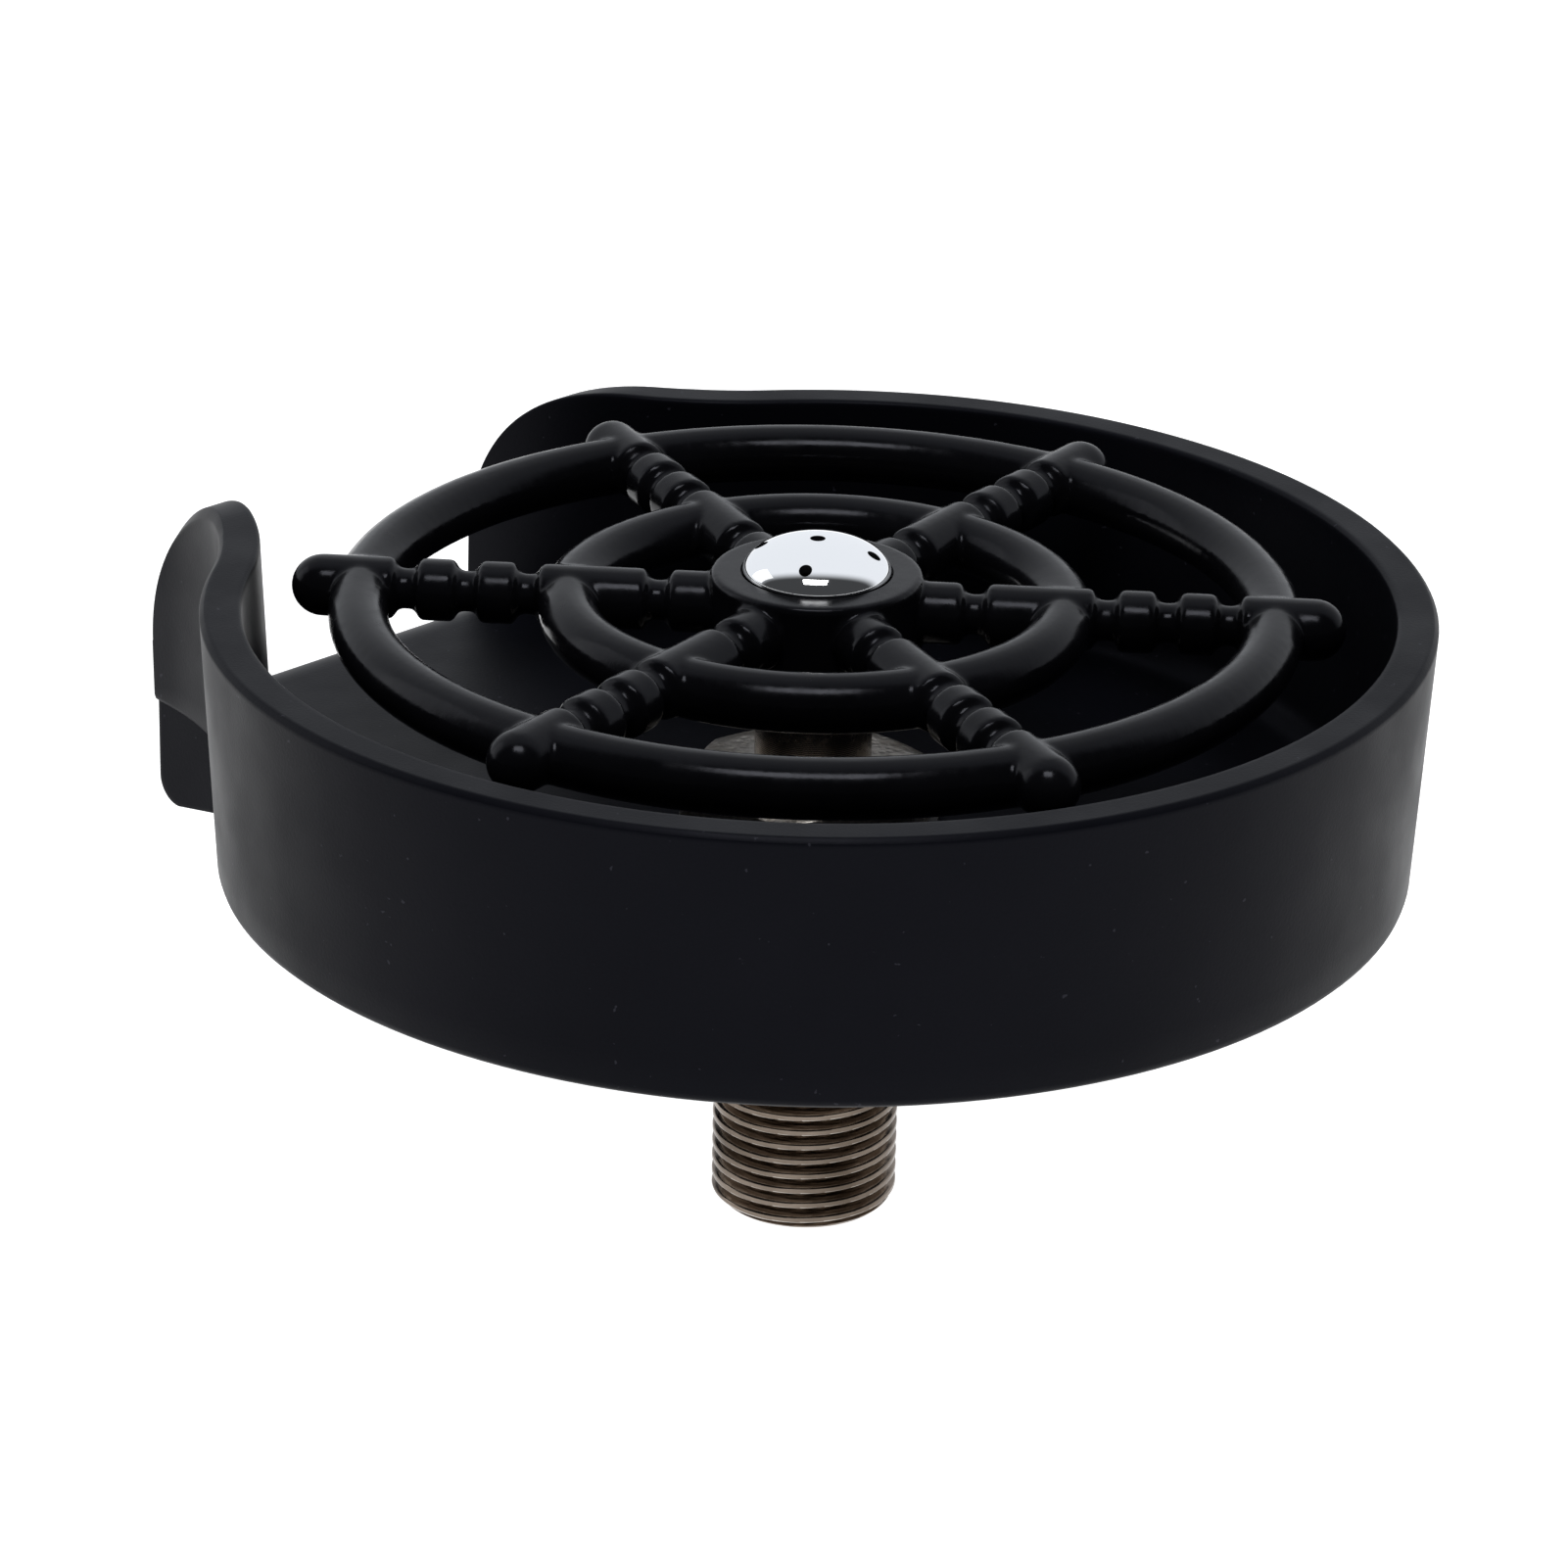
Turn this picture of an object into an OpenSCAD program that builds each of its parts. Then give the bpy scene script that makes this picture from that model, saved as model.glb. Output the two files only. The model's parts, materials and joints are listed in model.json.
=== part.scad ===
// Sink-deck glass rinser: a round basin with a pouring spout stands on the deck over a
// threaded supply shank. A glass set upside down on the star presses it down against a
// spring, which opens the valve under it and sprays water through the domed cap.
// Millimetres. +Z is up, the origin is on the valve axis at the basin's underside, and the
// spout points along -X.

/* [Basin] */
// Outer radius of the basin at the rim
rim_r = 68.1; // [65:0.1:72]
// How much smaller the basin is at its foot than at its rim, on the radius
rim_flare = 1.6; // [0:0.1:3]
// Height of the rim over the deck
rim_z = 30.8; // [28:0.1:36]
// Thickness of the basin wall
wall_t = 4.6; // [3.6:0.1:5.4]
// Thickness of the basin floor
floor_t = 3.8; // [3:0.1:6]
// Chamfer on the foot's outer edge
foot_chamfer = 0.8; // [0.3:0.1:2]
// Chamfer on the rim's outer edge
rim_chamfer = 0.6; // [0.2:0.1:1.5]

/* [Spout] */
// Distance from the valve axis to the end of the spout
spout_end = 81.4; // [80:0.1:90]
// Direction, off the spout, from which the basin wall curves in a little tighter
shoulder_angle = 78; // [60:1:85]
// Radius of that tighter stretch of wall
shoulder_r = 63; // [60:0.5:66]
// Direction, off the spout, in which the shoulder meets the hollow bend
bend_angle = 37.8; // [35:0.1:40]
// Radius of the hollow bend from the shoulder into each cheek
bend_r = 41; // [30:1:44]
// Angle by which each cheek closes in towards the spout's end
cheek_slant = 7.3; // [4:0.1:12]
// How much less the inner face of each cheek closes in, so that the cheek thins to its end
cheek_taper = 4; // [0:0.5:5]
// Radius of the cheek's rounded top corner
cheek_corner_r = 21; // [12:0.5:24]
// Radius of the waterfall edge where the floor rolls over the sink
lip_roll_r = 11.2; // [8:0.1:12]
// How far the cheeks and the lip hang below the deck
skirt_drop = 11.6; // [8:0.1:16]
// Set-back of the hanging skirt from the end of the cheek above it
skirt_inset = 0.5; // [0.2:0.1:1]
// Half of the skirt's width; its sides run straight back under the cheeks
skirt_half_w = 26.7; // [26:0.1:27.5]
// Thickness of the skirt's sides
skirt_wall = 3.6; // [3:0.1:4.5]
// How far the foot of the spout's sides stands clear of the deck
foot_relief = 0.2; // [0.1:0.05:0.5]
// How much less the skirt hangs down at its back edge
skirt_rise = 1.2; // [0:0.1:2]
// Distance from the valve axis to the back edge of the hanging skirt
skirt_start = 70.5; // [69.5:0.1:74]

/* [Star] */
// Number of arms
arm_count = 6; // [4:1:8]
// Direction of the first arm
arm_phase = 40.3; // [0:0.1:60]
// Radius of an arm
arm_r = 3.45; // [2.5:0.05:4]
// Distance from the valve axis to the centre of an arm's round tip
arm_reach = 54.6; // [50:0.1:58]
// Height of the arm axes
arm_z = 29; // [28:0.05:30]
// Centre radius of the outer ring
outer_ring_r = 50.2; // [46:0.1:52]
// Centre radius of the inner ring
inner_ring_r = 27.2; // [22:0.1:29]
// Radius of the ring bars
ring_bar_r = 3.3; // [2.5:0.05:3.6]
// Height of the ring bars' centre line
ring_z = 28.75; // [28:0.05:30]
// Depth of the grip grooves round each arm
groove_depth = 1.2; // [0.5:0.1:1.6]
// Width of a grip groove at its mouth
groove_mouth = 3.4; // [2.4:0.1:4]
// Width of a grip groove at its bottom
groove_bottom = 1.4; // [0.6:0.1:2.2]
// Radius of the hub
hub_r = 11.7; // [10:0.1:14]

/* [Valve] */
// How far the star can be pressed down
travel = 6; // [3:0.5:6]
// Outer radius of the supply thread, G 1/2
thread_r = 10.4775; // [10.4775:0.0005:10.478]
// Radius of the supply passage inside the shank
inlet_bore_r = 7.6; // [7:0.1:7.8]
// Height of the shank's lower end, below the deck
shank_end = 42.7; // [40:0.1:60]
// Width of the hexagonal collar across its flats
collar_flats = 26.5; // [24:0.1:30]
// Outer radius of the guide barrel
barrel_r = 6.5; // [6.2:0.1:7]
// Radius of the guide barrel's bore
barrel_bore_r = 5.2; // [5:0.05:5.3]
// Radius of the spindle rod
rod_r = 3; // [2.7:0.1:3.2]
// Radius of the water passage inside the spindle
passage_r = 1.6; // [1.2:0.1:1.7]

/* [Spray cap] */
// Radius of the cap at its foot
cap_r = 8.2; // [8:0.1:8.3]
// Height of the dome over the hub
dome_h = 3.9; // [3.5:0.1:5]
// Radius of the spray holes
spray_hole_r = 0.75; // [0.4:0.05:1]
// Distance of the outer spray holes from the axis
spray_ring_r = 6.3; // [4:0.1:6.3]
// Direction of the first outer spray hole
spray_phase = 32.5; // [0:0.5:90]

/* [Mounting set] */
// Width of the mounting nut across its flats
nut_flats = 30; // [27:0.5:34]
// Height of the mounting nut
nut_h = 9; // [6:0.5:10]
// Outer radius of the flat seal under the basin
base_seal_r = 26; // [20:0.5:40]

/* [Hidden] */
lip_end = spout_end - skirt_inset;
roll_start = lip_end - lip_roll_r;

$fn = 96;
over = 1;                 // how far a cutter runs past the face it cuts
mate = 0.05;              // radial play of parts that are screwed or pushed together

foot_r = rim_r - rim_flare;

// Heights of the valve stack above the deck
gasket_top = floor_t + 1.2;
collar_top = gasket_top + 4.8;
barrel_top = 23;
bush_top = barrel_top + 1;
hub_bottom = 24;
web_bottom = bush_top + travel + 0.3;
web_top = web_bottom + 2.1;
hub_top = web_top + 0.9;
dome_z = web_top + 0.8;
head_nut_top = web_top + 1.6;

// Heights of the valve stack below the deck
seat_top = -3;
seat_bottom = -6;
poppet_top = seat_bottom - 2.2;
poppet_bottom = poppet_top - 3.3;
clip_t = 0.8;
cup_flange_top = poppet_bottom - 3.1;
cup_bottom = cup_flange_top - 1.2;
retainer_top = -31.5;
retainer_bottom = retainer_top - 1.8;
circlip_bottom = retainer_bottom - 1;
filter_top = circlip_bottom - 0.9;

base_seal_t = 2;
base_seal_bottom = 1.4 - base_seal_t;
deck_gasket_bottom = base_seal_bottom - 2.4;
washer_bottom = deck_gasket_bottom - 1.4;
nut_bottom = washer_bottom - nut_h;
undercut_top = nut_bottom - 2;
undercut_bottom = undercut_top - 1.6;

piston_bottom = 11.2;
piston_top = 17;
piston_r = barrel_bore_r - 0.1;
piston_ring_bar = 0.64;
piston_ring_z = [15.3, 12.9];
journal_r = 2.2;
tail_end = poppet_bottom - 2.5;

spring_bar_r = 0.55;
spring_r = 5.3;
spring_turns = 7;
clip_outer_r = 8.3;

black = "#191a1d";
gloss_black = "#101013";
nickel = "#9a8a78";
steel = "#b9bdc2";
rubber = "#262626";
acetal = "#e9e6dc";

// Points along an arc about a centre, from one angle to another
function arc(c, r, from, to, steps) = [for (i = [0 : steps])
    let (a = from + (to - from) * i / steps) [c[0] + r * cos(a), c[1] + r * sin(a)]];

// A point list turned over to the other side of the spout's middle line
function across(points) = [for (i = [len(points) - 1 : -1 : 0]) [points[i][0], -points[i][1]]];

// One side of the spout seen from above, set in from its outer face by inset: the tighter
// shoulder of the basin wall, the hollow bend and the straight cheek
function cheek_side(inset, end, slant) = let (
    toward = [cos(bend_angle), sin(bend_angle)],
    shoulder_c = (rim_r - shoulder_r) * [cos(shoulder_angle), sin(shoulder_angle)],
    shoulder = arc(shoulder_c, shoulder_r - inset, shoulder_angle, bend_angle, 12),
    bend_c = shoulder_c + (shoulder_r + bend_r) * toward,
    bend = [for (i = [1 : 12]) let (a = 180 + bend_angle + (90 - bend_angle - slant) * i / 12)
        bend_c + (bend_r + inset) * [cos(a), sin(a)]],
    last = bend[len(bend) - 1])
    concat(shoulder, bend, [[end, last[1] - (end - last[0]) * tan(slant)]]);

// The whole basin seen from above: both sides of the spout, then the round wall behind it
function basin_outline(inset, end, slant) = let (side = cheek_side(inset, end, slant))
    concat(side, across(side), [for (i = [1 : 59])
        let (a = -shoulder_angle - (360 - 2 * shoulder_angle) * i / 60)
        (rim_r - inset) * [cos(a), sin(a)]]);

module ring(outer_r, inner_r, bottom, top) {
    translate([0, 0, bottom]) difference() {
        cylinder(r = outer_r, h = top - bottom);
        translate([0, 0, -over]) cylinder(r = inner_r, h = top - bottom + 2 * over);
    }
}

module rod(r, bottom, top) {
    translate([0, 0, bottom]) cylinder(r = r, h = top - bottom);
}

module o_ring(centre_r, bar_r, z) {
    translate([0, 0, z]) rotate_extrude() translate([centre_r, 0]) circle(r = bar_r, $fn = 32);
}

module hexagon(flats, bottom, top) {
    translate([0, 0, bottom]) cylinder(r = flats / 2 / cos(30), h = top - bottom, $fn = 6);
}

// How much smaller than at the rim the basin is at height z
function flare(z) = (foot_r + (rim_r - foot_r) * z / rim_z) / rim_r;

// The basin's outline carried up from bottom to top, flaring as it rises, and turned round so
// that the spout points along -X
module flared(inset, end, slant, bottom, top) {
    rotate([0, 0, 180]) translate([0, 0, bottom])
        linear_extrude(top - bottom, scale = flare(top) / flare(bottom))
            polygon([for (p = basin_outline(inset, end, slant)) flare(bottom) * p]);
}

// The space between the cheeks, run into them by bite
module channel_plan(end, bottom, top, bite = 0) {
    side = cheek_side(wall_t - bite, end, cheek_slant - cheek_taper);
    rotate([0, 0, 180]) translate([0, 0, bottom])
        linear_extrude(top - bottom) polygon(flare(floor_t) * concat(side, across(side)));
}

// A side view, drawn as [distance out along the spout, height], swept right across the basin
module side_view(points) {
    half = rim_r + over;
    rotate([0, 0, 180]) rotate([90, 0, 0])
        translate([0, 0, -half]) linear_extrude(2 * half) polygon(points);
}

// Cutter for a chamfer all round the basin's wall, on the edge at radius r and height z
module edge_cut(r, z, chamfer, up) {
    translate([0, 0, z]) rotate_extrude()
        polygon([[r - chamfer - over, up * over], [r + over, up * over], [r + over, -up * (chamfer + over)]]);
}

// The basin as one block, with the large round corner at the top of the cheeks' ends
module basin_outside() {
    back = -rim_r - over;
    intersection() {
        flared(0, spout_end + 4, cheek_slant, 0, rim_z);
        side_view(concat([[back, -over], [spout_end, -over]],
            arc([spout_end - cheek_corner_r, rim_z - cheek_corner_r], cheek_corner_r, 0, 90, 12),
            [[back, rim_z + over]]));
    }
}

// A block across the spout, from one distance out to another
module across_block(half_w, from, to, bottom, top) {
    translate([-to, -half_w, bottom]) cube([to - from, 2 * half_w, top - bottom]);
}

// The straight sides of the spout that hang over the edge of the sink
module skirt() {
    intersection() {
        difference() {
            across_block(skirt_half_w, skirt_start, lip_end, -skirt_drop, 1.5);
            across_block(skirt_half_w - skirt_wall, skirt_start - over, spout_end + over,
                -skirt_drop - over, 1.5 + over);
        }
        side_view(concat([[skirt_start, 1.5], [skirt_start, skirt_rise - skirt_drop]],
            arc([lip_end - 2, 2 - skirt_drop], 2, -90, 0, 5), [[lip_end, 1.5]]));
    }
}

// The spout's floor: flat, then rolling over into the hanging lip
module lip() {
    roll_z = floor_t - lip_roll_r;
    floor_start = roll_start - 16;
    intersection() {
        channel_plan(lip_end, -skirt_drop, floor_t, 1);
        side_view(concat([[floor_start, floor_t]],
            arc([roll_start, roll_z], lip_roll_r, 90, 0, 12),
            [[lip_end, -skirt_drop], [lip_end - floor_t, -skirt_drop]],
            arc([roll_start, roll_z], lip_roll_r - floor_t, 0, 90, 12),
            [[floor_start, 0]]));
    }
}

module basin() {
    color(black) {
        difference() {
            basin_outside();
            flared(wall_t, spout_end + 6, cheek_slant - cheek_taper, floor_t, rim_z + over);
            edge_cut(rim_r, rim_z, rim_chamfer, 1);
            edge_cut(foot_r, 0, foot_chamfer, -1);
            difference() {
                channel_plan(spout_end + over, -over, floor_t + 1);
                rod(foot_r - 2, -2 * over, floor_t + 2 * over);
            }
            across_block(rim_r, roll_start, spout_end + over, -over, foot_relief);
            rod(thread_r + 0.3, -over, floor_t + over);
            rod(base_seal_r + 0.2, -over, 1.4);
        }
        skirt();
        lip();
    }
}

module base_seal() {
    color(rubber) ring(base_seal_r, thread_r + 0.1, base_seal_bottom, 1.4);
}

module collar_gasket() {
    color(rubber) ring(14.2, thread_r + 0.1, floor_t, gasket_top);
}

module valve_body() {
    color(nickel) difference() {
        union() {
            intersection() {
                hexagon(collar_flats, gasket_top, collar_top);
                translate([0, 0, gasket_top]) rotate_extrude() polygon([[0, 0], [16, 0],
                    [16, 3.4], [12.4, 4.8], [0, 4.8]]);
            }
            rod(barrel_r, collar_top, barrel_top);
            rod(thread_r, undercut_top, gasket_top);
            rod(thread_r - 1.2, undercut_bottom, undercut_top);
            rod(thread_r, -shank_end + 1.1, undercut_bottom);
            translate([0, 0, -shank_end])
                cylinder(r1 = thread_r - 1.1, r2 = thread_r, h = 1.1);
        }
        rod(barrel_bore_r, seat_top - over, barrel_top + over);
        rod(inlet_bore_r, -shank_end - over, seat_top);
        rod(clip_outer_r, circlip_bottom - 0.05, retainer_bottom);
        translate([0, 0, -shank_end - 0.01])
            cylinder(r1 = inlet_bore_r + 0.6, r2 = inlet_bore_r, h = 0.6);
    }
}

module deck_gasket() {
    color(rubber) ring(19, thread_r + 0.1, deck_gasket_bottom, base_seal_bottom);
}

module mounting_washer() {
    color(steel) ring(18, thread_r + 0.3, washer_bottom, deck_gasket_bottom);
}

module mounting_nut() {
    color(nickel) difference() {
        union() {
            rod(nut_flats / 2 + 2, washer_bottom - 2, washer_bottom);
            intersection() {
                hexagon(nut_flats, nut_bottom, washer_bottom);
                translate([0, 0, nut_bottom]) cylinder(r1 = nut_flats / 2, r2 = nut_flats / 2 + 6, h = 6.01);
            }
            hexagon(nut_flats, nut_bottom + 5, washer_bottom);
        }
        rod(thread_r + mate, nut_bottom - over, washer_bottom + over);
    }
}

module guide_bush() {
    color(acetal) difference() {
        union() {
            rod(barrel_bore_r, piston_top + 1.6, barrel_top);
            rod(barrel_r - 0.3, barrel_top, bush_top);
        }
        rod(rod_r + 0.05, 0, bush_top + over);
        rod(4.4, barrel_top - 1, bush_top + over);
    }
}

module wiper_seal() {
    color(rubber) ring(4.4, rod_r + 0.03, barrel_top - 1, bush_top);
}

module valve_seat() {
    color(acetal) difference() {
        ring(inlet_bore_r, 4.2, seat_bottom, seat_top);
        ring(inlet_bore_r + over, inlet_bore_r - 1.1, -5.15, -3.85);
    }
}

module seat_o_ring() {
    color(rubber) o_ring(inlet_bore_r - 0.55, 0.55, -4.5);
}

module spring_retainer() {
    color(steel) {
        ring(inlet_bore_r, 3.4, retainer_bottom, retainer_top);
        ring(4.4, 3.4, retainer_top, retainer_top + 2);
    }
}

// Internal circlip, open at one side, with an eye at each end
module retaining_clip() {
    eye_at = 24;
    gap = 20;
    color(steel) difference() {
        union() {
            difference() {
                ring(clip_outer_r, 6.9, circlip_bottom, retainer_bottom);
                translate([0, 0, circlip_bottom - over]) linear_extrude(3)
                    polygon([[0, 0], 14 * [cos(gap), -sin(gap)], 14 * [cos(gap), sin(gap)]]);
            }
            for (side = [-1, 1]) rotate([0, 0, side * eye_at]) translate([6.1, 0, 0])
                rod(1.3, circlip_bottom, retainer_bottom);
        }
        for (side = [-1, 1]) rotate([0, 0, side * eye_at]) translate([6.1, 0, 0])
            rod(0.6, circlip_bottom - over, retainer_bottom + over);
    }
}

// Strainer that keeps grit out of the valve
module inlet_filter() {
    filter_hole_r = 0.55;
    filter_pitch = 1.75;
    color(steel) {
        ring(inlet_bore_r, inlet_bore_r - 0.9, filter_top - 2.4, filter_top);
        difference() {
            rod(inlet_bore_r - 0.9, filter_top - 1.2, filter_top - 0.6);
            for (i = [-3 : 3], j = [-3 : 3])
                if (norm([i, j]) < 3.4)
                    translate([i * filter_pitch, j * filter_pitch, 0])
                        rod(filter_hole_r, filter_top - 3, filter_top + over);
        }
    }
}

module spring_cup() {
    color(acetal) difference() {
        union() {
            rod(5, cup_flange_top, poppet_bottom);
            rod(6.4, cup_bottom, cup_flange_top);
            rod(4.3, cup_bottom - 1.8, cup_bottom);
        }
        rod(3.9, cup_flange_top, poppet_bottom + over);
        rod(1.2, cup_bottom - 3, cup_flange_top + over);
    }
}

// One ring of the spring wire's section, standing on the coil at turn t
function coil_ring(t, z, sides) = [for (k = [0 : sides - 1])
    let (a = 360 * k / sides, r = spring_r + spring_bar_r * cos(a))
    [r * cos(360 * t), r * sin(360 * t), z + spring_bar_r * sin(a)]];

// Round wire coil, its two end turns lying flat
module return_spring() {
    steps = 24 * spring_turns;
    sides = 8;
    low = retainer_top + spring_bar_r + 0.02;
    high = cup_bottom - spring_bar_r - 0.02;
    close_t = 1;
    close_rise = 2 * spring_bar_r + 0.05;
    pitch = (high - low - 2 * close_rise) / (spring_turns - 2 * close_t);
    rings = [for (i = [0 : steps])
        let (t = i * spring_turns / steps,
            z = t < close_t ? low + close_rise * t
                : t > spring_turns - close_t ? high - close_rise * (spring_turns - t)
                : low + close_rise + pitch * (t - close_t))
        coil_ring(t, z, sides)];
    points = [for (r = rings) for (p = r) p];
    walls = [for (i = [0 : steps - 1], k = [0 : sides - 1])
        let (a = i * sides + k, b = i * sides + (k + 1) % sides) [a, a + sides, b + sides, b]];
    ends = [[for (k = [0 : sides - 1]) k], [for (k = [sides - 1 : -1 : 0]) steps * sides + k]];
    color(steel) polyhedron(points = points, faces = concat(walls, ends));
}

// Distances from the valve axis to the grip grooves
grooves = [17.4, 31.8, 38.5, 45.2];

// One arm along +X: a round bar with grooves turned into it and a ball end
module arm() {
    mouth = groove_mouth / 2;
    bottom = groove_bottom / 2;
    outline = [for (g = grooves) for (p = [[arm_r, g - mouth], [arm_r - groove_depth, g - bottom],
        [arm_r - groove_depth, g + bottom], [arm_r, g + mouth]]) p];
    translate([0, 0, arm_z]) rotate([0, 90, 0]) {
        rotate_extrude($fn = 48) polygon(concat([[0, hub_r - 2], [arm_r, hub_r - 2]], outline,
            [[arm_r, arm_reach], [0, arm_reach]]));
        translate([0, 0, arm_reach]) sphere(r = arm_r, $fn = 48);
    }
}

module spray_star() {
    color(gloss_black) difference() {
        union() {
            rod(hub_r, hub_bottom, hub_top - 0.4);
            translate([0, 0, hub_top - 0.4]) cylinder(r1 = hub_r, r2 = hub_r - 0.4, h = 0.4);
            for (i = [0 : arm_count - 1]) rotate([0, 0, arm_phase + i * 360 / arm_count]) arm();
            o_ring(outer_ring_r, ring_bar_r, ring_z);
            o_ring(inner_ring_r, ring_bar_r, ring_z);
        }
        rod(barrel_r + 0.7, hub_bottom - over, web_bottom);
        rod(journal_r + 0.25, web_bottom - over, web_top + over);
        rod(cap_r + 0.2, web_top, hub_top + over);
    }
}

// Half outline of a dome standing on height z, with a foot radius r and a rise h
function dome(r, h, z) = [for (i = [0 : 18]) let (a = 5 * i) [r * cos(a), z + h * sin(a)]];

module spray_cap() {
    shell_t = 1;
    color("#d8dade") difference() {
        rotate_extrude() polygon(concat([[0, web_top], [cap_r, web_top]], dome(cap_r, dome_h, dome_z)));
        rotate_extrude() polygon(concat([[0, web_top - over], [cap_r - shell_t, web_top - over]],
            dome(cap_r - shell_t, dome_h - 0.9, dome_z)));
        rod(spray_hole_r + 0.1, head_nut_top, dome_z + dome_h + over);
        for (i = [0 : 3]) rotate([0, 0, spray_phase + 90 * i]) translate([spray_ring_r, 0, 0])
            rod(spray_hole_r, dome_z + 0.5, dome_z + dome_h + over);
    }
}

module cap_o_ring() {
    color(rubber) o_ring(cap_r - 1.45, 0.45, dome_z);
}

// Round nut that clamps the star on the spindle and carries the cap
module head_nut() {
    land_r = cap_r - 1.4;
    color(nickel) difference() {
        rod(land_r, web_top, head_nut_top);
        ring(cap_r, cap_r - 1.95, dome_z - 0.45, dome_z + 0.45);
        rod(journal_r + 0.2 + mate, web_top - over, head_nut_top + over);
    }
}

// Hollow spindle: water enters by the cross holes and leaves at the top
module spindle() {
    color(steel) difference() {
        union() {
            rod(journal_r + 0.2, web_bottom, head_nut_top);
            rod(rod_r, seat_bottom, web_bottom);
            rod(piston_r, piston_bottom, piston_top);
            rod(journal_r, tail_end, seat_bottom);
        }
        for (z = piston_ring_z)
            ring(barrel_r, piston_r - 1.2, z - 0.85, z + 0.85);
        ring(rod_r, journal_r - 0.5, poppet_bottom - clip_t, poppet_bottom);
        rod(passage_r, 3.2, head_nut_top + over);
        for (turn = [0, 90]) rotate([0, 90, turn]) translate([-5, 0, -rod_r - over])
            cylinder(r = 1, h = 2 * (rod_r + over), $fn = 32);
    }
}

module piston_o_ring_upper() {
    color(rubber) o_ring(piston_r - 1.2 + piston_ring_bar, piston_ring_bar, piston_ring_z[0]);
}

module piston_o_ring_lower() {
    color(rubber) o_ring(piston_r - 1.2 + piston_ring_bar, piston_ring_bar, piston_ring_z[1]);
}

module poppet() {
    color(acetal) ring(6.2, journal_r, poppet_bottom, poppet_top);
}

module poppet_seal() {
    color(rubber) ring(5.8, journal_r, poppet_top, seat_bottom);
}

// Open clip in the groove of the spindle's tail
module poppet_clip() {
    color(steel) difference() {
        ring(3.5, journal_r - 0.5, poppet_bottom - clip_t, poppet_bottom);
        translate([0, -1.1, poppet_bottom - clip_t - over]) cube([5, 2.2, clip_t + 2 * over]);
    }
}

basin();
base_seal();
collar_gasket();
valve_body();
deck_gasket();
mounting_washer();
mounting_nut();
guide_bush();
wiper_seal();
valve_seat();
seat_o_ring();
spring_retainer();
retaining_clip();
inlet_filter();
spring_cup();
return_spring();
spray_star();
spray_cap();
cap_o_ring();
head_nut();
spindle();
piston_o_ring_upper();
piston_o_ring_lower();
poppet();
poppet_seal();
poppet_clip();
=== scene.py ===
# Looks for the glass rinser: smooth moulded basin, star, chrome cap and threaded body.
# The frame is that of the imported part: +Z up the valve axis, the spout along -X, and z = 0 in
# the plane of the basin's underside. Sizes are given in millimetres, and vec() makes them metres.
import json
import math

import bmesh
import bpy
from mathutils import Matrix, Vector


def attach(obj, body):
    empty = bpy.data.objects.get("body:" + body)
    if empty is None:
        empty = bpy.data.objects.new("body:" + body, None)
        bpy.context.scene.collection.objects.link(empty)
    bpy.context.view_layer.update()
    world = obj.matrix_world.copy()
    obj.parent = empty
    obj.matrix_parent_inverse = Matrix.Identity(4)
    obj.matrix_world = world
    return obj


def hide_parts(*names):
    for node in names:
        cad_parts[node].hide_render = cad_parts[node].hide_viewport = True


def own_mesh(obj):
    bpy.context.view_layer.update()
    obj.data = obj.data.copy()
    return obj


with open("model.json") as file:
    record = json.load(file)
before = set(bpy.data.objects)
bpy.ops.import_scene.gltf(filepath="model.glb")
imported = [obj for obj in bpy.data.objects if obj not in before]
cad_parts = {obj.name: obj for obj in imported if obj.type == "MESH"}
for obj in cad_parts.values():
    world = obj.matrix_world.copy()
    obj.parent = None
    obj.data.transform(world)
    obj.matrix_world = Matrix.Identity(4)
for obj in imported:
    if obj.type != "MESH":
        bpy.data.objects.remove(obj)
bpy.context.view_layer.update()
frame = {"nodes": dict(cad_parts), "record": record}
MM = 0.001

# ---------------------------------------------------------------- sizes
# Lengths and heights are in millimetres; names with _A and SLANT are angles in degrees
RIM_R, FOOT_R, RIM_Z = 68.1, 66.5, 30.8
WALL, FLOOR = 4.6, 3.8
SPOUT_END, SHOULDER_A, SHOULDER_R = 81.4, 78.0, 63.0
BEND_A, BEND_R, CORNER_R = 37.8, 41.0, 21.0
SLANT_OUT, SLANT_IN, END_EASE = 7.3, 3.3, 0.35
LIP_END, LIP_R, DROP = 80.9, 11.2, 11.6
SKIRT_BACK, SKIRT_OUT, SKIRT_IN, CHEEK_LIFT = 70.5, 26.8, 23.1, 0.7
ARMS, ARM_A, ARM_R, ARM_REACH, ARM_Z = 6, 40.3, 3.45, 54.6, 29.0
RINGS, BAR_R, RING_Z = (50.2, 27.2), 3.3, 28.75
GROOVES = (17.4, 31.8, 38.5, 45.2)
HUB_R, HUB_LOW, HUB_TOP = 11.7, 24.0, 33.3
THREAD_R, PITCH, SHANK_END = 10.4775, 1.814, -42.7
BORE_R, SUPPLY_R, SEAT_TOP = 5.2, 7.6, -3.0
CLIP_R, CLIP_TOP, CLIP_LOW = 8.3, -33.3, -34.35
SPRING_LOW, SPRING_TOP, SPRING_R, WIRE_R, TURNS, TRAVEL = -31.5, -15.8, 5.3, 0.55, 7, 6.0
CAP_R, CAP_H, CAP_BASE, CAP_LOW, CAP_SKIN = 8.2, 3.9, 33.2, 32.4, 0.9
APEX_HOLE_R, HOLE_R, HOLE_OUT, HOLE_A = 0.85, 0.72, 6.3, 32.5
POCKET_R, BARREL_ROOM_R, SPINDLE_R = 8.4, 7.2, 2.45
HEX_FLATS, HEX_LOW, HEX_TOP, HEX_EDGE = 26.5, 5.0, 9.8, 8.4
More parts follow.
